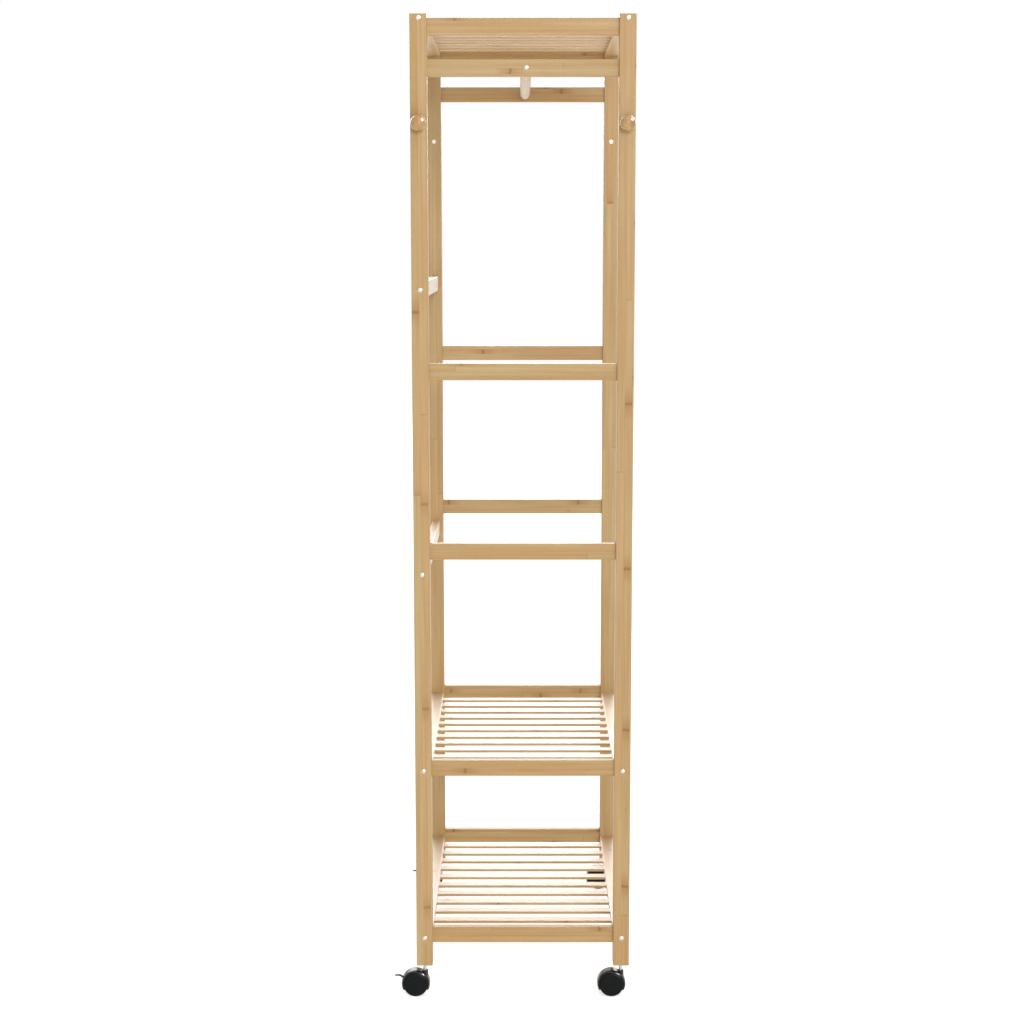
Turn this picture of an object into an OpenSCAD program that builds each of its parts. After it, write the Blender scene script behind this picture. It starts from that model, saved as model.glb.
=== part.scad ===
// Tall rolling cart of laminated bamboo: four posts, six pairs of end rails, three slatted
// shelves, two rails on the left side only, a hanging rod, four ball pegs and four twin-wheel
// casters. X is the width, Y the length, Z up. The origin is on the floor, midway between
// the four posts. "Front" is the -Y end and "left" the -X side.

/* [Overall] */
// Width over the posts
cart_w = 400; // [340:10:480]
// Length over the posts
cart_l = 600; // [600:10:760]
// Length of each post
post_len = 1750; // [1750:10:1900]

/* [Bamboo bars] */
// Side of the square posts
post_w = 30; // [28:1:34]
// Height of the end rails and of the rails on the left side
rail_h = 30; // [26:1:34]
// Thickness of those rails
rail_t = 15; // [14:1:18]
// Width of the rails that carry the slats
side_rail_w = 30; // [28:1:34]
// Thickness of the rails that carry the slats
side_rail_t = 15; // [14:1:18]
// Radius along the edges of posts and rails
edge_r = 1.6; // [1:0.1:2.5]

/* [Rail heights above the post feet] */
// Underside of the bottom pair of end rails
base_rail_z = 42.5; // [42:0.5:60]
// Underside of the end rails at the raised shelf
shelf_rail_z = 366; // [300:1:420]
// Underside of the middle end rails
middle_rail_z = 774.5; // [700:0.5:820]
// Underside of the upper end rails
upper_rail_z = 1104; // [1000:1:1200]
// Underside of the end rails that hold the hanging rod
rod_rail_z = 1642; // [1600:1:1644]
// Underside of the top pair of end rails
rim_rail_z = 1713.5; // [1700:0.5:1714]
// Centre of the lower rail on the left side
lower_guard_z = 747; // [600:1:765]
// Centre of the upper rail on the left side
upper_guard_z = 1266; // [1160:1:1400]

/* [Shelves] */
// Slats in each of the two lower shelves
slat_count = 10; // [6:1:10]
// Slats in the top shelf
top_slat_count = 12; // [8:1:12]
// Distance from slat to slat; the top shelf's slats move closer where they must clear the posts
slat_pitch = 47.7; // [40:0.1:47.8]
// Width of a slat
slat_w = 21.5; // [18:0.5:22]
// Thickness of a slat
slat_t = 5; // [4.5:0.5:7]
// How far the slats of the two lower shelves lie below the top of their side rails
slat_drop = 1.5; // [1:0.5:2]
// The same for the top shelf, whose slats lie partly behind the rim rails
top_slat_drop = 3.5; // [1:0.5:4]

/* [Rod and pegs] */
// Diameter of the hanging rod
rod_d = 21; // [18:1:25]
// Offset of the rod from the middle of the cart
rod_x = 5; // [0:1:10]
// Diameter of the ball pegs
knob_d = 28; // [24:1:30]
// How far a peg stands out from its post
knob_reach = 30; // [26:1:34]
// Height of the pegs above the post feet
knob_z = 1560; // [1500:5:1600]

/* [Casters] */
// Distance from the floor to the post feet
caster_h = 62; // [61:0.5:66]
// Diameter of the wheels
wheel_d = 46; // [44:0.5:47]
// Width over both wheels
caster_w = 30; // [28:1:34]
// Distance of the wheel axle behind the stem
trail = 17.5; // [16:0.5:18]

/* [Hidden] */
$fn = 48;
CASTERS = ["front_left", "front_right", "rear_left", "rear_right"];
SIGNS = [[-1, -1], [1, -1], [-1, 1], [1, 1]];

post_x = cart_w / 2 - post_w / 2;
post_y = cart_l / 2 - post_w / 2;
foot_z = caster_h;
top_z = foot_z + post_len;
end_rail_len = cart_w - 2 * post_w;
side_rail_len = cart_l - 2 * post_w;

// Centres of the six end rails, and of the three shelves' side rails
END_RAILS = [for (z = [base_rail_z, shelf_rail_z, middle_rail_z, upper_rail_z, rod_rail_z,
    rim_rail_z]) foot_z + z + rail_h / 2];
side_rail_rise = 3;
base_side_z = foot_z + base_rail_z + side_rail_rise + side_rail_t / 2;
shelf_side_z = foot_z + shelf_rail_z + side_rail_rise + side_rail_t / 2;
top_side_z = top_z - side_rail_t / 2;
SIDE_RAILS = [base_side_z, shelf_side_z, top_side_z];
GUARD_RAILS = [foot_z + lower_guard_z, foot_z + upper_guard_z];

// Joinery
dowel_d = 6;
dowel_gap = 15;
dowel_in_post = 10;
dowel_in_rail = 14;
glue_gap = 0.05;
bolt_d = 5;
bolt_hole_d = 5.4;
bolt_len = post_w + 30;
head_d = 8.6;
head_h = 2.4;
socket_r = 1.7;
socket_depth = 1.5;
nut_d = 10;
nut_len = 13;
nut_inset = 20;
tenon_len = 8;
slat_len = cart_w - 2 * side_rail_w + 2 * tenon_len;
slat_r = 1.2;
slat_clear = 0.5;
screw_d = 4;
screw_head_d = 8;
screw_head_h = 2.4;
screw_bite = 16;
knob_neck_d = 13;
rod_len = cart_l - post_w - rail_t;
rod_bolt_len = 50;

// Caster, with its stem on the Z axis and its wheels trailing towards -X
wheel_r = wheel_d / 2;
hood_gap = 0.7;
hood_t = 3.1;
hood_r = wheel_r + hood_gap + hood_t;
hood_edge_r = 9;
hood_cut = 11;
web_t = 8;
wheel_gap = 0.3;
wheel_edge_r = 4;
hub_r = 7;
rim_wall = 4;
back_recess = 3;
face_groove_w = 0.8;
face_groove_depth = 0.5;
face_groove_inset = 1.4;
axle_d = 5;
hub_cap_t = 2.2;
axle_end_gap = 0.3;
run_gap = 0.05;
boss_d = 11.6;
boss_top = 48;
journal_d = 5.4;
journal_end = 31;
shank_d = 6.4;
thread_d = 8;
thread_len = 22;
insert_d = 11;
insert_len = 25;
groove_z = 34;
groove_h = 1.8;
groove_depth = 0.7;
lip_h = 1;
lip_reach = 0.5;
boss_foot = 4;

// Brake, in the wheel's own plane, with the wheel's centre at [0, 0]
pivot = [-14.6, 12.2];
lever_t = 4.4;
lever_eye_r = 3.2;
pin_d = 2.5;
shoe_r = wheel_r + 1.2;
shoe_t = 1.2;
shoe_w = 15;
SHOE_SPAN = [146, 155];
POCKET_SPAN = [140, 162];
SLOT_SPAN = [127, 170];
slot_r = 9;
slot_play = 0.6;
pin_fit = 0.04;
TAB_SPAN = [44, 104];
brake_play = 0.4;
tab_centre = [-35.5, -1];
tab_r = 17.2;
tab_t = 2.6;

BAMBOO = [0.83, 0.71, 0.54];
STEEL = [0.78, 0.79, 0.80];
BLACK = [0.10, 0.10, 0.11];

// ---- shared shapes ----

module rounded_rect(a, b, r) {
    square([a, b - 2 * r], center = true);
    square([a - 2 * r, b], center = true);
    for (sa = [-1, 1], sb = [-1, 1])
        translate([sa * (a / 2 - r), sb * (b / 2 - r)]) circle(r = r);
}

// Bars with rounded edges, centred on the origin
module bar_x(len, y, z, r = edge_r) {
    rotate([90, 0, 90]) linear_extrude(len, center = true) rounded_rect(y, z, r);
}
module bar_y(len, x, z, r = edge_r) {
    rotate([90, 0, 0]) linear_extrude(len, center = true) rounded_rect(x, z, r);
}
module bar_z(len, x, y, r = edge_r) {
    linear_extrude(len, center = true) rounded_rect(x, y, r);
}

module rod_along_x(len, d) {
    rotate([0, 90, 0]) cylinder(h = len, d = d, center = true);
}
module rod_along_y(len, d) {
    rotate([90, 0, 0]) cylinder(h = len, d = d, center = true);
}

// ---- frame ----

// The pair of dowels across the joint of an end rail and a post, on side sx
module dowel_pair(sx, d, spare = 0) {
    len = dowel_in_post + dowel_in_rail + 2 * spare;
    middle = (dowel_in_post - dowel_in_rail) / 2;
    for (dz = [-1, 1])
        translate([sx * (end_rail_len / 2 + middle), 0, dz * dowel_gap / 2]) rod_along_x(len, d);
}

// Countersunk screw from the origin along +Z, its head flush with z = 0
module screw_shape(len, spare = 0) {
    cylinder(h = len, d = screw_d + 2 * spare);
    cylinder(h = screw_head_h, d1 = screw_head_d + 2 * spare, d2 = screw_d + 2 * spare);
}

// Button-head bolt along +Z, its head standing out below z = 0
module bolt_shape(len) {
    difference() {
        union() {
            cylinder(h = len, d = bolt_d);
            intersection() {
                translate([0, 0, head_d * 0.6 - head_h]) sphere(r = head_d * 0.6);
                translate([0, 0, -head_h]) cylinder(h = head_h, d = head_d);
            }
        }
        translate([0, 0, -head_h]) cylinder(h = socket_depth, r = socket_r, $fn = 6);
    }
}

// Puts a shape that points along +Z at the outer face of end sy, pointing inwards
module from_end(sy, x, z, inset = 0) {
    translate([x, sy * (cart_l / 2 - inset), z]) rotate([90 * sy, 0, 0]) children();
}

function bolt_heights(sx) = concat(SIDE_RAILS, sx < 0 ? GUARD_RAILS : []);

module post(sx, sy) {
    color(BAMBOO) difference() {
        translate([sx * post_x, sy * post_y, foot_z + post_len / 2]) bar_z(post_len, post_w, post_w);
        for (z = END_RAILS)
            translate([0, sy * post_y, z]) dowel_pair(sx, dowel_d + 2 * glue_gap, 0.5);
        for (z = bolt_heights(sx))
            translate([sx * post_x, sy * post_y, z]) rod_along_y(post_w + 2, bolt_hole_d);
        from_end(-sy, sx * post_x, foot_z + knob_z, cart_l - post_w)
            screw_shape(post_w + 1, glue_gap);
        translate([sx * post_x, sy * post_y, foot_z - 1])
            cylinder(h = insert_len + 2, d = insert_d + 2 * glue_gap);
    }
}

module end_rail(sy, z) {
    color(BAMBOO) difference() {
        translate([0, sy * post_y, z]) bar_x(end_rail_len, rail_t, rail_h);
        for (sx = [-1, 1])
            translate([0, sy * post_y, z]) dowel_pair(sx, dowel_d + 2 * glue_gap, 0.5);
    }
}

module rod_rail(sy) {
    difference() {
        end_rail(sy, END_RAILS[4]);
        translate([rod_x, sy * post_y, END_RAILS[4]]) rod_along_y(rail_t + 2, bolt_hole_d);
    }
}

// Bolt holes and nut bores at both ends of a lengthwise rail whose centre is at [x, 0, z]
module rail_end_bores(x, z, h) {
    for (sy = [-1, 1]) {
        from_end(sy, x, z) cylinder(h = bolt_len + 2, d = bolt_hole_d);
        translate([x, sy * (side_rail_len / 2 - nut_inset), z - h / 2 - 1])
            cylinder(h = h / 2 + 1 + nut_len / 2, d = nut_d + 2 * glue_gap);
    }
}

function slats_at(z) = z == top_side_z ? top_slat_count : slat_count;

// Height of the middle of the slats whose side rails are centred at height z
function slat_z(z) =
    z + side_rail_t / 2 - slat_t / 2 - (z == top_side_z ? top_slat_drop : slat_drop);

// The widest pitch at which a shelf's outermost slats still clear the posts
function pitch_at(z) =
    min(slat_pitch, (side_rail_len - slat_w - 2 * slat_clear) / (slats_at(z) - 1));

// The slats of the shelf whose side rails are centred at height z
module slat_row(z, len, spare = 0) {
    count = slats_at(z);
    for (i = [0:count - 1])
        translate([0, (i - (count - 1) / 2) * pitch_at(z), slat_z(z)])
            bar_x(len, slat_w + 2 * spare, slat_t + 2 * spare, slat_r);
}

module side_rail(sx, z) {
    x = sx * (cart_w / 2 - side_rail_w / 2);
    color(BAMBOO) difference() {
        translate([x, 0, z]) bar_y(side_rail_len, side_rail_w, side_rail_t);
        rail_end_bores(sx * post_x, z, side_rail_t);
        slat_row(z, slat_len + 1, glue_gap);
    }
}

module slats(z) {
    color(BAMBOO) slat_row(z, slat_len);
}

module guard_rail(z) {
    color(BAMBOO) difference() {
        translate([-post_x, 0, z]) bar_y(side_rail_len, rail_t, rail_h);
        rail_end_bores(-post_x, z, rail_h);
    }
}

module hanging_rod() {
    color(BAMBOO) difference() {
        translate([rod_x, 0, END_RAILS[4]]) rod_along_y(rod_len, rod_d);
        for (sy = [-1, 1])
            from_end(sy, rod_x, END_RAILS[4], (post_w - rail_t) / 2)
                cylinder(h = rod_bolt_len + 1, d = bolt_d + 2 * glue_gap);
    }
}

// Ball peg on a short neck
module knob(sx, sy) {
    color(BAMBOO) difference() {
        translate([sx * post_x, sy * cart_l / 2, foot_z + knob_z]) rotate([-90 * sy, 0, 0]) {
            cylinder(h = knob_reach / 2, d = knob_neck_d);
            translate([0, 0, knob_reach - knob_d / 2]) sphere(d = knob_d);
        }
        translate([sx * post_x, sy * cart_l / 2, foot_z + knob_z])
            rod_along_y(2 * (screw_bite + 1), screw_d + 2 * glue_gap);
    }
}

module knob_screws() {
    color(STEEL) for (s = SIGNS)
        from_end(-s[1], s[0] * post_x, foot_z + knob_z, cart_l - post_w)
            screw_shape(post_w + screw_bite);
}

module frame_bolts() {
    color(STEEL) for (s = SIGNS, z = bolt_heights(s[0]))
        from_end(s[1], s[0] * post_x, z) bolt_shape(bolt_len);
}

module barrel_nuts() {
    color(STEEL) for (s = SIGNS, z = bolt_heights(s[0]))
        translate([s[0] * post_x, s[1] * (side_rail_len / 2 - nut_inset), z]) difference() {
            cylinder(h = nut_len, d = nut_d, center = true);
            rod_along_y(nut_d + 2, bolt_d + 2 * glue_gap);
        }
}

module rod_bolts() {
    color(STEEL) for (sy = [-1, 1])
        from_end(sy, rod_x, END_RAILS[4], (post_w - rail_t) / 2) bolt_shape(rod_bolt_len);
}

module rail_dowels() {
    color(BAMBOO) for (s = SIGNS, z = END_RAILS)
        translate([0, s[1] * post_y, z]) dowel_pair(s[0], dowel_d);
}

// ---- casters ----

module at_post(s) {
    translate([s[0] * post_x, s[1] * post_y, 0]) children();
}

// From the stem's axis to the wheels' centre
module at_wheel() {
    translate([-trail, 0, wheel_r]) children();
}

module caster_inserts() {
    color(STEEL) for (s = SIGNS) at_post(s) translate([0, 0, foot_z]) difference() {
        cylinder(h = insert_len, d = insert_d);
        translate([0, 0, -1]) cylinder(h = insert_len + 2, d = thread_d + 2 * glue_gap);
    }
}

// Thread in the post, bare shank, then a grooved journal that the housing turns on
module caster_stems() {
    color(STEEL) for (s = SIGNS) at_post(s) {
        translate([0, 0, foot_z]) cylinder(h = thread_len, d = thread_d);
        translate([0, 0, boss_top + 0.4]) cylinder(h = foot_z - boss_top, d = shank_d);
        difference() {
            translate([0, 0, journal_end]) cylinder(h = boss_top + 1 - journal_end, d = journal_d);
            translate([0, 0, groove_z]) difference() {
                cylinder(h = groove_h, d = journal_d + 1);
                translate([0, 0, -1]) cylinder(h = groove_h + 2, d = journal_d - 2 * groove_depth);
            }
        }
    }
}

// Drum along Y with rounded rims
module drum(r, w, edge) {
    rotate([90, 0, 0]) rotate_extrude() {
        translate([0, -w / 2]) square([r - edge, w]);
        translate([0, edge - w / 2]) square([r, w - 2 * edge]);
        for (s = [-1, 1]) translate([r - edge, s * (w / 2 - edge)]) circle(r = edge);
    }
}

// Everything between two angles around the Y axis, out to radius r; angles in degrees
// from +X towards +Z
module wedge(from, to, r, w) {
    steps = 6;
    rotate([90, 0, 0]) linear_extrude(w, center = true)
        polygon(concat([[0, 0]], [for (i = [0:steps])
            let (a = from + (to - from) * i / steps) 1.2 * r * [cos(a), sin(a)]]));
}

// Ring sector around the Y axis
module arc_band(r_in, r_out, w, from, to) {
    intersection() {
        difference() {
            rod_along_y(w, 2 * r_out);
            rod_along_y(w + 2, 2 * r_in);
        }
        wedge(from, to, r_out, w + 4);
    }
}

module hood() {
    difference() {
        union() {
            at_wheel() difference() {
                drum(hood_r, caster_w, hood_edge_r);
                for (s = [-1, 1])
                    translate([0, s * (web_t / 2 + caster_w / 2), 0])
                        rod_along_y(caster_w, 2 * (wheel_r + hood_gap));
            }
            difference() {
                translate([0, 0, wheel_r + boss_foot])
                    cylinder(h = boss_top - wheel_r - boss_foot, d = boss_d);
                at_wheel() rod_along_y(caster_w, 2 * (wheel_r + hood_gap));
            }
        }
        translate([-trail, 0, wheel_r - hood_cut - hood_r])
            cube([3 * hood_r, 2 * caster_w, 2 * hood_r], center = true);
        // Bore for the stem, with a lip left standing in the stem's groove
        difference() {
            translate([0, 0, journal_end - 1])
                cylinder(h = boss_top, d = journal_d + 2 * run_gap);
            translate([0, 0, groove_z + (groove_h - lip_h) / 2]) difference() {
                cylinder(h = lip_h, d = journal_d + 2);
                translate([0, 0, -1]) cylinder(h = lip_h + 2, d = journal_d - 2 * lip_reach);
            }
        }
        at_wheel() rod_along_y(web_t + 2, axle_d + 2 * glue_gap);
    }
}

// Room in the hood for the brake: a slot in the web, a window for the tab and a pocket
// for the shoe
module brake_room() {
    at_wheel() {
        arc_band(slot_r, hood_r + 2, lever_t + slot_play, SLOT_SPAN[0], SLOT_SPAN[1]);
        arc_band(wheel_r, shoe_r + shoe_t + brake_play, shoe_w + 2 * brake_play,
            POCKET_SPAN[0], POCKET_SPAN[1]);
        translate([pivot[0], 0, pivot[1]]) rod_along_y(web_t + 2, pin_d + pin_fit);
    }
}

module caster_housing(i) {
    color(BLACK) at_post(SIGNS[i]) if (SIGNS[i][0] < 0) difference() {
        hood();
        brake_room();
    } else hood();
}

module axle(i) {
    color(STEEL) at_post(SIGNS[i]) at_wheel()
        rod_along_y(caster_w - 2 * (hub_cap_t + axle_end_gap), axle_d);
}

// One wheel of a twin caster, on side sy of the web
module wheel(i, sy) {
    w = (caster_w - web_t) / 2 - wheel_gap;
    color(BLACK) at_post(SIGNS[i]) at_wheel() rotate([-90 * sy, 0, 0])
        translate([0, 0, web_t / 2 + wheel_gap]) difference() {
            rotate_extrude() difference() {
                union() {
                    square([wheel_r - wheel_edge_r, w]);
                    square([wheel_r, w - wheel_edge_r]);
                    translate([wheel_r - wheel_edge_r, w - wheel_edge_r]) circle(r = wheel_edge_r);
                }
                translate([wheel_r - wheel_edge_r - face_groove_inset, w - face_groove_depth])
                    square([face_groove_w, 1]);
                translate([hub_r, -1]) square([wheel_r - rim_wall - hub_r, 1 + back_recess]);
            }
            translate([0, 0, -1]) cylinder(h = w - hub_cap_t + 1, d = axle_d + 2 * run_gap);
        }
}

module lever_outline() {
    translate(pivot) circle(r = lever_eye_r);
    polygon([pivot + [0.5, 3], pivot + [-8.2, 2.4], pivot + [-10.2, -0.4], pivot + [-7, -2.6],
        pivot + [-0.5, -3.1]]);
}

module brake_lever(i) {
    color(BLACK) at_post(SIGNS[i]) at_wheel() difference() {
        union() {
            rotate([90, 0, 0]) linear_extrude(lever_t, center = true) lever_outline();
            translate([tab_centre[0], 0, tab_centre[1]])
                arc_band(tab_r - tab_t, tab_r, lever_t, TAB_SPAN[0], TAB_SPAN[1]);
            arc_band(shoe_r, shoe_r + shoe_t, shoe_w, SHOE_SPAN[0], SHOE_SPAN[1]);
        }
        translate([pivot[0], 0, pivot[1]]) rod_along_y(lever_t + 2, pin_d + 2 * run_gap);
    }
}

module brake_pin(i) {
    color(STEEL) at_post(SIGNS[i]) at_wheel()
        translate([pivot[0], 0, pivot[1]]) rod_along_y(web_t - brake_play, pin_d);
}

post(-1, -1);  // post_front_left
post(1, -1);  // post_front_right
post(-1, 1);  // post_rear_left
post(1, 1);  // post_rear_right
end_rail(-1, END_RAILS[5]);  // rim_rail_front
end_rail(1, END_RAILS[5]);  // rim_rail_rear
rod_rail(-1);  // rod_rail_front
rod_rail(1);  // rod_rail_rear
end_rail(-1, END_RAILS[3]);  // upper_rail_front
end_rail(1, END_RAILS[3]);  // upper_rail_rear
end_rail(-1, END_RAILS[2]);  // middle_rail_front
end_rail(1, END_RAILS[2]);  // middle_rail_rear
end_rail(-1, END_RAILS[1]);  // shelf_rail_front
end_rail(1, END_RAILS[1]);  // shelf_rail_rear
end_rail(-1, END_RAILS[0]);  // base_rail_front
end_rail(1, END_RAILS[0]);  // base_rail_rear
side_rail(-1, top_side_z);  // top_side_rail_left
side_rail(1, top_side_z);  // top_side_rail_right
side_rail(-1, shelf_side_z);  // shelf_side_rail_left
side_rail(1, shelf_side_z);  // shelf_side_rail_right
side_rail(-1, base_side_z);  // base_side_rail_left
side_rail(1, base_side_z);  // base_side_rail_right
guard_rail(GUARD_RAILS[1]);  // upper_guard_rail
guard_rail(GUARD_RAILS[0]);  // lower_guard_rail
slats(top_side_z);  // top_slats
slats(shelf_side_z);  // shelf_slats
slats(base_side_z);  // base_slats
hanging_rod();
knob(-1, -1);  // knob_front_left
knob(1, -1);  // knob_front_right
knob(-1, 1);  // knob_rear_left
knob(1, 1);  // knob_rear_right
knob_screws();
frame_bolts();
barrel_nuts();
rod_bolts();
rail_dowels();
caster_inserts();
caster_stems();
caster_housing(0);  // caster_housing_front_left
caster_housing(1);  // caster_housing_front_right
caster_housing(2);  // caster_housing_rear_left
caster_housing(3);  // caster_housing_rear_right
axle(0);  // axle_front_left
axle(1);  // axle_front_right
axle(2);  // axle_rear_left
axle(3);  // axle_rear_right
wheel(0, -1);  // wheel_front_left_a
wheel(0, 1);  // wheel_front_left_b
wheel(1, -1);  // wheel_front_right_a
wheel(1, 1);  // wheel_front_right_b
wheel(2, -1);  // wheel_rear_left_a
wheel(2, 1);  // wheel_rear_left_b
wheel(3, -1);  // wheel_rear_right_a
wheel(3, 1);  // wheel_rear_right_b
brake_lever(0);  // brake_lever_front
brake_lever(2);  // brake_lever_rear
brake_pin(0);  // brake_pin_front
brake_pin(2);  // brake_pin_rear
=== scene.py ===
import math

import bpy
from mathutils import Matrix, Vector


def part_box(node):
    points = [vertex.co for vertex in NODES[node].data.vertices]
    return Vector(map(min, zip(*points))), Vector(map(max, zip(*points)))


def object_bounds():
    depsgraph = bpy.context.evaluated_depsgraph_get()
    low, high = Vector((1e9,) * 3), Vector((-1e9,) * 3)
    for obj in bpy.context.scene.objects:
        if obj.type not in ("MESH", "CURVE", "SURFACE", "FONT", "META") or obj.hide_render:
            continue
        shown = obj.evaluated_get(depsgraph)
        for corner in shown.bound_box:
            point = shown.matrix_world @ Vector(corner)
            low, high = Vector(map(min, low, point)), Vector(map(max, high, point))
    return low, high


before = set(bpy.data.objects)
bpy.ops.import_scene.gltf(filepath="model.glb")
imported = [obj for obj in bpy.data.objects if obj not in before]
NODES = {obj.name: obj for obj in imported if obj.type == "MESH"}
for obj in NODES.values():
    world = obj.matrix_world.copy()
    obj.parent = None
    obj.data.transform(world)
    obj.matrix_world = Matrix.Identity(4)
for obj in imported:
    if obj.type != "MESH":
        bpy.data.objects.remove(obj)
cad_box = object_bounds()

# ---------------------------------------------------------------- camera

LENS_MM = 62.97
SENSOR_MM = 36.0
CAMERA_BACK = 3.227    # in front of the near posts' faces
CAMERA_TILT = 7.54     # degrees below level
CAMERA_HEIGHT = 1.410
CAMERA_X = -0.0050
SHIFT_X = -0.0080
SHIFT_Y = -0.030
CAMERA_REACH = 60.0    # its clipping distance


def make_camera():
    """A camera in line with the cart's length, at chest height, looking slightly down."""
    near_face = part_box("post_front_left")[0].y
    data = bpy.data.cameras.new("camera")
    data.sensor_width = SENSOR_MM
    data.lens = LENS_MM
    data.shift_x = SHIFT_X
    data.shift_y = SHIFT_Y
    data.clip_end = CAMERA_REACH
    camera = bpy.data.objects.new("camera", data)
    camera.location = (CAMERA_X, near_face - CAMERA_BACK, CAMERA_HEIGHT)
    camera.rotation_euler = (math.radians(90.0 - CAMERA_TILT), 0.0, 0.0)
    bpy.context.scene.collection.objects.link(camera)
    bpy.context.scene.camera = camera


# ---------------------------------------------------------------- node helpers

FLAT_COSINE = 0.999     # between the bevelled and the true normal, on a flat face
ROUND_COSINE = 0.93     # and on an edge
BEVEL_SAMPLES = 4


class Graph:
    """Short calls for building one material's nodes."""

    def __init__(self, name):
        self.material = bpy.data.materials.new(name)
        self.material.use_nodes = True
        self.tree = self.material.node_tree
        self.tree.nodes.clear()
        self.out = self.add("ShaderNodeOutputMaterial")
        self.shader = self.add("ShaderNodeBsdfPrincipled")
        self.link(self.shader.outputs[0], self.out.inputs[0])

    def add(self, kind, **settings):
        node = self.tree.nodes.new(kind)
        for key, value in settings.items():
            setattr(node, key, value)
        return node

    def link(self, source, target):
        self.tree.links.new(source, target)

    def put(self, target, value):
        """Links value if it is a socket, and sets it if it is a constant."""
        if isinstance(value, bpy.types.NodeSocket):
            self.link(value, target)
        else:
            target.default_value = value

    def math(self, operation, a, b=0.0, c=0.0):
        node = self.add("ShaderNodeMath", operation=operation)
        for socket, value in zip(node.inputs, (a, b, c)):
            self.put(socket, value)
        return node.outputs[0]

    def plus(self, a, b):
        return self.math("ADD", a, b)

    def minus(self, a, b):
        return self.math("SUBTRACT", a, b)

    def times(self, a, b):
        return self.math("MULTIPLY", a, b)

    def larger(self, a, b):
        return self.math("MAXIMUM", a, b)

    def combine(self, x, y, z):
        node = self.add("ShaderNodeCombineXYZ")
        for socket, value in zip(node.inputs, (x, y, z)):
            self.put(socket, value)
        return node.outputs[0]

    def object_axes(self):
        """The place in the shared frame at rest, and its X, Y and Z, in metres."""
        place = self.add("ShaderNodeTexCoord").outputs["Object"]
        split = self.add("ShaderNodeSeparateXYZ")
        self.link(place, split.inputs[0])
        return place, split.outputs[0], split.outputs[1], split.outputs[2]

    def piece_random(self):
        return self.add("ShaderNodeObjectInfo").outputs["Random"]

    def noise(self, vector, scale=1.0, detail=2.0, roughness=0.5, distortion=0.0):
        node = self.add("ShaderNodeTexNoise")
        self.put(node.inputs["Vector"], vector)
        self.put(node.inputs["Scale"], scale)
        self.put(node.inputs["Detail"], detail)
        self.put(node.inputs["Roughness"], roughness)
        self.put(node.inputs["Distortion"], distortion)
        return node.outputs[0]

    def white(self, x, y, z):
        node = self.add("ShaderNodeTexWhiteNoise")
        self.link(self.combine(x, y, z), node.inputs["Vector"])
        return node.outputs["Value"]

    def ramp(self, value, low, high, out_low=0.0, out_high=1.0, smooth=True):
        node = self.add("ShaderNodeMapRange")
        node.interpolation_type = "SMOOTHSTEP" if smooth else "LINEAR"
        for socket, v in zip(node.inputs, (value, low, high, out_low, out_high)):
            self.put(socket, v)
        return node.outputs[0]

    def colors(self, value, stops):
        node = self.add("ShaderNodeValToRGB")
        self.link(value, node.inputs[0])
        elements = node.color_ramp.elements
        while len(elements) < len(stops):
            elements.new(0.5)
        for element, (position, color) in zip(elements, stops):
            element.position = position
            element.color = (*color, 1.0)
        return node.outputs[0]

    def mix(self, factor, a, b, blend="MIX"):
        node = self.add("ShaderNodeMix", data_type="RGBA", blend_type=blend)
        self.put(node.inputs[0], factor)
        for socket, value in ((node.inputs[6], a), (node.inputs[7], b)):
            self.put(socket, value if isinstance(value, bpy.types.NodeSocket) else (*value, 1.0))
        return node.outputs[2]

    def edge(self, radius):
        """1 on a rounded edge and 0 on a flat face."""
        bevel = self.add("ShaderNodeBevel", samples=BEVEL_SAMPLES)
        bevel.inputs["Radius"].default_value = radius
        normal = self.add("ShaderNodeNewGeometry").outputs["Normal"]
        dot = self.add("ShaderNodeVectorMath", operation="DOT_PRODUCT")
        self.link(bevel.outputs[0], dot.inputs[0])
        self.link(normal, dot.inputs[1])
        return self.ramp(dot.outputs["Value"], FLAT_COSINE, ROUND_COSINE)

    def bump(self, height, distance, strength=1.0):
        node = self.add("ShaderNodeBump")
        node.inputs["Strength"].default_value = strength
        node.inputs["Distance"].default_value = distance
        self.link(height, node.inputs["Height"])
        self.link(node.outputs[0], self.shader.inputs["Normal"])

    def surface(self, **values):
        for key, value in values.items():
            self.put(self.shader.inputs[key.replace("_", " ")], value)
        return self.material


# ---------------------------------------------------------------- bamboo

PALE = (0.575, 0.412, 0.195)
STRAW = (0.488, 0.318, 0.138)
HONEY = (0.395, 0.228, 0.070)
OLIVE = (0.490, 0.362, 0.172)
ROSE = (0.530, 0.290, 0.108)
STAIN_BROWN = (0.385, 0.190, 0.060)
NODE_BROWN = (0.24, 0.110, 0.035)
GLUE_BROWN = (0.25, 0.130, 0.050)
# lengths in metres
STRIP_WIDTH = 0.0135
STRIP_LENGTH = 1.15
STRIP_DEPTH = 1.3       # in widths
NODE_SPACING = 0.26     # the least distance between two culm nodes of a strip
NODE_SPREAD = 0.16      # and what chance adds to it
NODE_WANDER = 0.007     # how ragged a node's band is along the strip
NODE_REACH = 0.0048     # from the middle of the band to where it fades out
STAIN_REACH = 0.034
WOOD_WEAR = 0.0012      # radius of the rubbed edges
WOOD_RELIEF = 0.00008
# numbers that keep the random draws of different strips apart
LENGTH_KEY = 7.31
FIBRE_KEY = 3.0
NODE_KEY = 0.37


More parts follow.
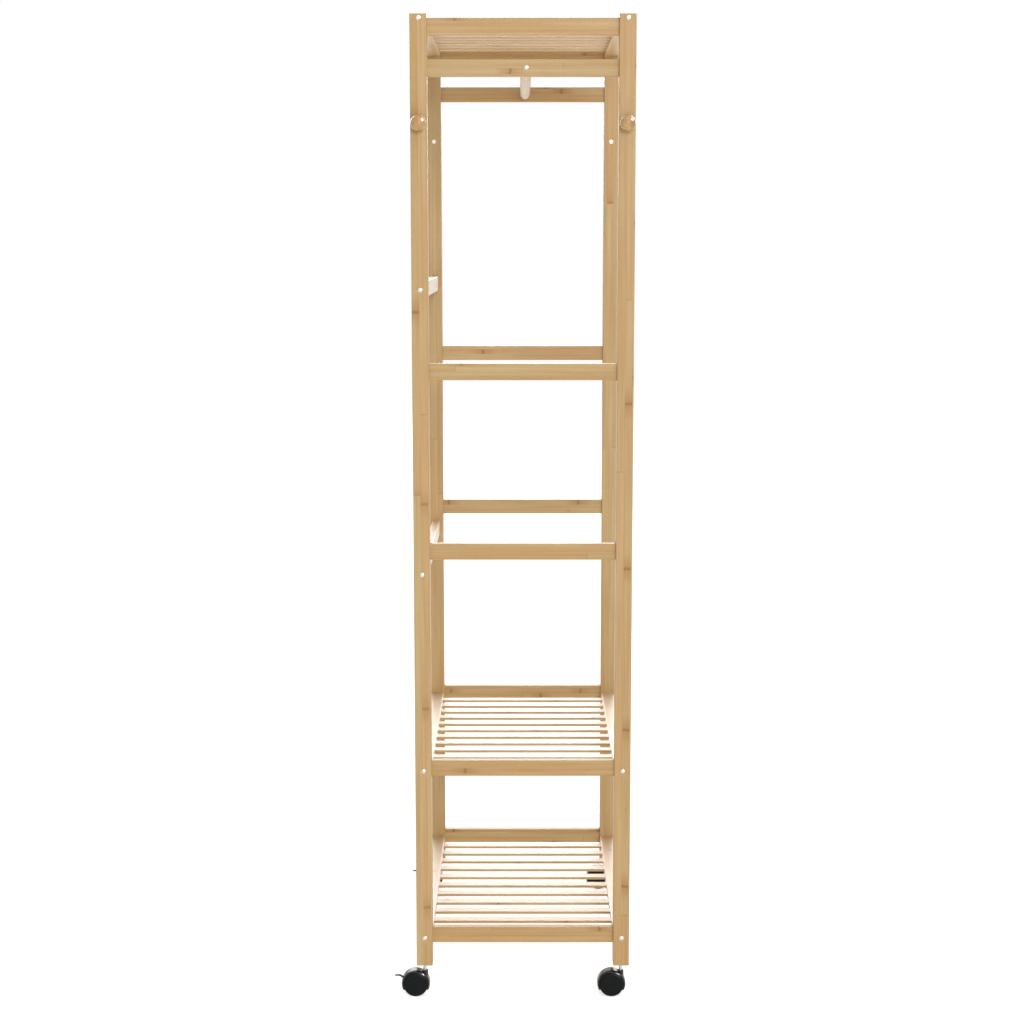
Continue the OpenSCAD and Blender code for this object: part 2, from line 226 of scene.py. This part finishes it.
class Lamination:
    """Where a point lies in laminated bamboo: its strip, the place along it, and its fibres."""

    def __init__(self, g, axis, strip):
        xyz = g.object_axes()[1:]
        self.piece = g.piece_random()
        self.along = xyz[axis]
        self.u, self.v = (xyz[i] for i in range(3) if i != axis)
        self.g = g
        # a strip's index and the place across it, each way; the piece's own random shifts them
        wander = g.times(self.piece, strip)
        self.u_cell = g.math("DIVIDE", g.plus(self.u, wander), strip)
        self.v_cell = g.math("DIVIDE", g.minus(self.v, wander), STRIP_DEPTH * strip)
        u_index = g.math("FLOOR", self.u_cell)
        v_index = g.math("FLOOR", self.v_cell)
        # strips are butted end to end, at places that differ from strip to strip
        slide = g.times(g.white(u_index, v_index, self.piece), STRIP_LENGTH)
        self.l_cell = g.math("DIVIDE", g.plus(self.along, slide), STRIP_LENGTH)
        l_index = g.math("FLOOR", self.l_cell)
        key = g.plus(g.times(l_index, LENGTH_KEY), self.piece)
        self.tone = g.white(u_index, v_index, key)
        self.hue = g.white(v_index, key, u_index)
        self.luck = g.white(key, u_index, v_index)
        self.moved = g.plus(self.along, g.times(self.tone, FIBRE_KEY))

    def fibres(self, across, lengthwise, detail, roughness=0.55):
        """Noise drawn out along the strips; the numbers are its cells per metre each way."""
        g = self.g
        vector = g.combine(
            g.times(self.moved, lengthwise),
            g.times(self.u, across),
            g.times(self.v, across),
        )
        return g.noise(vector, detail=detail, roughness=roughness)

    def to_edge(self, cell):
        """0 in the middle of a cell and 0.5 at its edges."""
        g = self.g
        return g.math("ABSOLUTE", g.minus(g.math("FRACT", cell), 0.5))

    def culm_nodes(self, ragged):
        """The brown band where the culm had a node, and the wider stain round it."""
        g = self.g
        spacing = g.plus(NODE_SPACING, g.times(self.hue, NODE_SPREAD))
        shift = g.times(g.minus(ragged, 0.5), NODE_WANDER)
        place = g.plus(g.plus(self.along, shift), g.times(self.tone, NODE_KEY))
        away = g.times(self.to_edge(g.math("DIVIDE", place, spacing)), spacing)
        present = g.ramp(self.luck, 0.60, 0.80)
        band = g.times(g.ramp(away, NODE_REACH, 0.0002), present)
        stain = g.times(g.ramp(away, STAIN_REACH, 0.003), present)
        return band, stain


def bamboo_joints(g, lam):
    """The glue lines between strips, and the ends where two strips butt."""
    u_line = g.ramp(lam.to_edge(lam.u_cell), 0.475, 0.498)
    v_line = g.ramp(lam.to_edge(lam.v_cell), 0.475, 0.498)
    seam = g.times(g.larger(u_line, v_line), g.ramp(lam.luck, 0.1, 0.9, 0.10, 0.70))
    butt = g.times(g.ramp(lam.to_edge(lam.l_cell), 0.4988, 0.4998), 0.7)
    return seam, butt


def strip_color(g, lam, streak, ribbon):
    """A strip's own tone from pale to honey, leaning to olive or to rose."""
    shade = g.plus(g.times(lam.tone, 0.30), 0.36)
    shade = g.plus(shade, g.times(g.minus(streak, 0.5), 1.25))
    shade = g.plus(shade, g.times(g.minus(ribbon, 0.5), 0.90))
    color = g.colors(shade, ((0.18, PALE), (0.48, STRAW), (0.86, HONEY)))
    lean = g.plus(g.times(lam.hue, 0.55), g.times(ribbon, 0.90))
    tint = g.mix(g.ramp(lean, 0.38, 0.95), OLIVE, ROSE)
    return g.mix(0.45, color, tint)


def bamboo(name, axis, strip=STRIP_WIDTH, lacquer=0.8, roughness=0.44):
    """Laminated bamboo under satin lacquer, its strips along one axis: 0, 1 or 2."""
    g = Graph(name)
    lam = Lamination(g, axis, strip)
    streak = lam.fibres(across=230.0, lengthwise=2.6, detail=3.0)
    ribbon = lam.fibres(across=60.0, lengthwise=4.0, detail=2.0)
    fibre = lam.fibres(across=1500.0, lengthwise=9.0, detail=2.0)
    dashes = lam.fibres(across=2200.0, lengthwise=60.0, detail=1.0)
    band, stain = lam.culm_nodes(streak)
    seam, butt = bamboo_joints(g, lam)
    edge = g.edge(WOOD_WEAR)

    color = strip_color(g, lam, streak, ribbon)
    color = g.mix(g.ramp(fibre, 0.46, 0.70, 0.0, 0.40), color, HONEY)
    color = g.mix(g.ramp(dashes, 0.64, 0.74, 0.0, 0.30), color, GLUE_BROWN)
    color = g.mix(g.times(stain, 0.62), color, STAIN_BROWN)
    color = g.mix(g.times(band, 0.72), color, NODE_BROWN)
    color = g.mix(g.times(g.larger(seam, butt), 0.55), color, GLUE_BROWN)
    color = g.mix(g.times(edge, 0.20), color, PALE)

    rough = g.plus(roughness, g.times(fibre, 0.12))
    rough = g.plus(rough, g.times(band, 0.12))
    rough = g.plus(rough, g.times(edge, 0.06))
    height = g.plus(g.times(fibre, 0.35), g.times(dashes, -0.2))
    height = g.plus(height, g.times(seam, -0.6))
    height = g.plus(height, g.times(band, 0.8))
    g.bump(height, WOOD_RELIEF, 0.6)
    g.surface(Coat_Weight=lacquer, Coat_Roughness=roughness, Specular_IOR_Level=0.5 * lacquer)
    return g.surface(Base_Color=color, Roughness=rough)


# ---------------------------------------------------------------- metal, nylon and dowels

SCREW_ZINC = (0.62, 0.57, 0.50)
PLATED_ZINC = (0.54, 0.56, 0.58)
WORN_ZINC = (0.95, 0.95, 0.96)
CASTER_BLACK = (0.0034, 0.0036, 0.0042)
WHEEL_BLACK = (0.0040, 0.0047, 0.0052)
WORN_NYLON = (0.03, 0.031, 0.033)
DUST = (0.05, 0.05, 0.048)
DOWEL_PALE = (0.72, 0.58, 0.40)
DOWEL_DARK = (0.55, 0.40, 0.24)


def scaled(color, factor):
    return tuple(factor * channel for channel in color)


def zinc(name, tint, roughness):
    """Plated steel with fine turning marks and a faint spangle."""
    g = Graph(name)
    place, x, y, z = g.object_axes()
    spangle = g.noise(place, scale=700.0, detail=3.0)
    fine = g.noise(g.combine(x, y, g.times(z, 9.0)), scale=2500.0, detail=2.0)
    color = g.mix(g.ramp(spangle, 0.35, 0.7, 0.0, 0.35), tint, scaled(tint, 0.78))
    color = g.mix(g.times(g.edge(0.0003), 0.4), color, WORN_ZINC)
    rough = g.plus(roughness, g.times(fine, 0.14))
    g.bump(fine, 0.00003, 0.5)
    return g.surface(Base_Color=color, Roughness=rough, Metallic=1.0)


def nylon(name, color, roughness, coat):
    """Moulded nylon: near black, a fine texture, a little dust, edges polished paler."""
    g = Graph(name)
    place = g.object_axes()[0]
    pebble = g.noise(place, scale=2600.0, detail=2.0)
    flow = g.noise(place, scale=60.0, detail=3.0, distortion=0.8)
    dust = g.ramp(g.noise(place, scale=420.0, detail=4.0), 0.60, 0.82, 0.0, 0.10)
    shade = g.mix(g.ramp(flow, 0.35, 0.7), color, scaled(color, 1.5))
    shade = g.mix(dust, shade, DUST)
    shade = g.mix(g.times(g.edge(0.0005), 0.4), shade, WORN_NYLON)
    rough = g.plus(roughness, g.times(flow, 0.10))
    rough = g.plus(rough, g.times(dust, 0.5))
    g.bump(g.plus(pebble, g.times(flow, 0.5)), 0.00004, 0.5)
    g.surface(Coat_Weight=coat, Coat_Roughness=0.2, Specular_IOR_Level=0.1)
    return g.surface(Base_Color=shade, Roughness=rough)


def raw_dowel(name):
    """Fluted dowel wood, glued in and out of sight."""
    g = Graph(name)
    x, y, z = g.object_axes()[1:]
    along = g.combine(x, g.times(y, 30.0), g.times(z, 30.0))
    grain = g.noise(along, scale=60.0, detail=3.0)
    color = g.colors(grain, ((0.3, DOWEL_PALE), (0.7, DOWEL_DARK)))
    g.bump(grain, 0.0001, 0.5)
    return g.surface(Base_Color=color, Roughness=g.plus(0.6, g.times(grain, 0.2)))


# ---------------------------------------------------------------- what each node is made of

END_RAILS = ("rim_rail", "rod_rail", "upper_rail", "middle_rail", "shelf_rail", "base_rail")
SCREWS = ("knob_screws", "frame_bolts", "rod_bolts")


def finish_for(name, finishes):
    """The finish of a CAD node, by its name."""
    if name.startswith("post_"):
        return finishes["post"]
    if name.endswith("_slats"):
        return finishes["slat"]
    if name.startswith(END_RAILS):
        return finishes["end_rail"]
    if "side_rail" in name or "guard_rail" in name:
        return finishes["long_rail"]
    if name == "hanging_rod":
        return finishes["rod"]
    if name == "rail_dowels":
        return finishes["dowel"]
    if name in SCREWS:
        return finishes["screw"]
    if name.startswith("knob_"):
        return finishes["knob"]
    if name.startswith("wheel_"):
        return finishes["wheel"]
    if name.startswith(("caster_housing", "brake_lever")):
        return finishes["housing"]
    return finishes["zinc"]


def make_finishes():
    return {
        "post": bamboo("bamboo_upright", 2, lacquer=0.45),
        "slat": bamboo("bamboo_slat", 0, strip=0.0098, lacquer=0.85, roughness=0.42),
        "end_rail": bamboo("bamboo_end_rail", 0, strip=0.0078, lacquer=0.45),
        "long_rail": bamboo("bamboo_long_rail", 1, lacquer=1.0, roughness=0.36),
        "rod": bamboo("bamboo_rod", 1, strip=0.014),
        "knob": bamboo("bamboo_turned", 1, strip=0.014, lacquer=0.4, roughness=0.30),
        "dowel": raw_dowel("dowel_wood"),
        "screw": zinc("bright_screw", SCREW_ZINC, 0.40),
        "zinc": zinc("zinc_steel", PLATED_ZINC, 0.36),
        "housing": nylon("caster_nylon", CASTER_BLACK, 0.32, 0.5),
        "wheel": nylon("wheel_nylon", WHEEL_BLACK, 0.42, 0.0),
    }


def dress_nodes():
    finishes = make_finishes()
    for name, node in NODES.items():
        finish = finish_for(name, finishes)
        if not node.data.materials:
            node.data.materials.append(finish)
        for i in range(len(node.data.materials)):
            node.data.materials[i] = finish


# ---------------------------------------------------------------- studio

WHITE = (1.0, 1.0, 1.0, 1.0)
FLOOR_DULL = (0.93, 0.93, 0.93)
FLOOR_CLEAN = (0.96, 0.96, 0.96)
FLOOR_HALF = 20.0       # half the floor's width, in metres
FLOOR_GLOW = 0.56       # what the floor gives off, as seen and in gloss
FLOOR_BOUNCE = 0.24     # and as light on the wood
SKY_SEEN = 1.0
SKY_LIGHT = 0.40        # the sky as light on the wood


def floor_finish():
    """A white sweep that is lit a little from within, as a light table is."""
    g = Graph("studio_floor")
    place = g.add("ShaderNodeTexCoord").outputs["Object"]
    tone = g.noise(place, scale=3.0, detail=2.0)
    color = g.mix(tone, FLOOR_DULL, FLOOR_CLEAN)
    g.shader.inputs["Emission Color"].default_value = WHITE
    to_wood = g.add("ShaderNodeLightPath").outputs["Is Diffuse Ray"]
    glow = g.ramp(to_wood, 0.0, 1.0, FLOOR_GLOW, FLOOR_BOUNCE, smooth=False)
    return g.surface(Base_Color=color, Roughness=0.85, Emission_Strength=glow)


def make_floor():
    mesh = bpy.data.meshes.new("studio_floor")
    ways = ((-1, -1), (1, -1), (1, 1), (-1, 1))
    corners = [(FLOOR_HALF * x, FLOOR_HALF * y, 0.0) for x, y in ways]
    mesh.from_pydata(corners, [], [(0, 1, 2, 3)])
    mesh.materials.append(floor_finish())
    floor = bpy.data.objects.new("studio_floor", mesh)
    bpy.context.scene.collection.objects.link(floor)


def make_light(name, place, aim, size, power, diffuse=True, glossy=True):
    """An area light that isn't seen; it can be left out of matt light or out of gloss."""
    data = bpy.data.lights.new(name, "AREA")
    data.shape = "RECTANGLE"
    data.size, data.size_y = size
    data.energy = power
    light = bpy.data.objects.new(name, data)
    light.location = place
    direction = Vector(aim) - Vector(place)
    light.rotation_euler = direction.to_track_quat("-Z", "Y").to_euler()
    light.visible_camera = False
    light.visible_diffuse = diffuse
    light.visible_glossy = glossy
    bpy.context.scene.collection.objects.link(light)


def make_sky():
    """White to look at, and softer as a light."""
    world = bpy.data.worlds.new("studio_sky")
    world.use_nodes = True
    tree = world.node_tree
    background = tree.nodes["Background"]
    background.inputs[0].default_value = WHITE
    path = tree.nodes.new("ShaderNodeLightPath")
    strength = tree.nodes.new("ShaderNodeMapRange")
    strength.inputs["To Min"].default_value = SKY_SEEN
    strength.inputs["To Max"].default_value = SKY_LIGHT
    tree.links.new(path.outputs["Is Diffuse Ray"], strength.inputs["Value"])
    tree.links.new(strength.outputs[0], background.inputs[1])
    bpy.context.scene.world = world


def make_studio():
    """The sky, one key light, two that fill, and two that show in gloss only."""
    make_sky()
    top = cad_box[1].z
    middle = (0.0, 0.0, top / 2)
    make_light("overhead", (0.7, -1.6, top + 4.6), middle, (4.5, 4.5), 80.0)
    make_light("front_key", (2.6, -11.7, 4.6), middle, (3.5, 3.5), 515.0)
    make_light("back_fill", (-3.0, 10.0, 4.5), middle, (4.0, 4.0), 240.0, glossy=False)
    make_light("side_sheen", (5.5, -1.5, 6.0), middle, (2.2, 2.2), 1500.0, diffuse=False)
    make_light("back_sheen", (0.0, 6.5, 5.2), middle, (12.0, 7.0), 1450.0, diffuse=False)
    scene = bpy.context.scene
    scene.view_settings.view_transform = "Standard"
    scene.view_settings.look = "None"


make_camera()
make_studio()
make_floor()
dress_nodes()
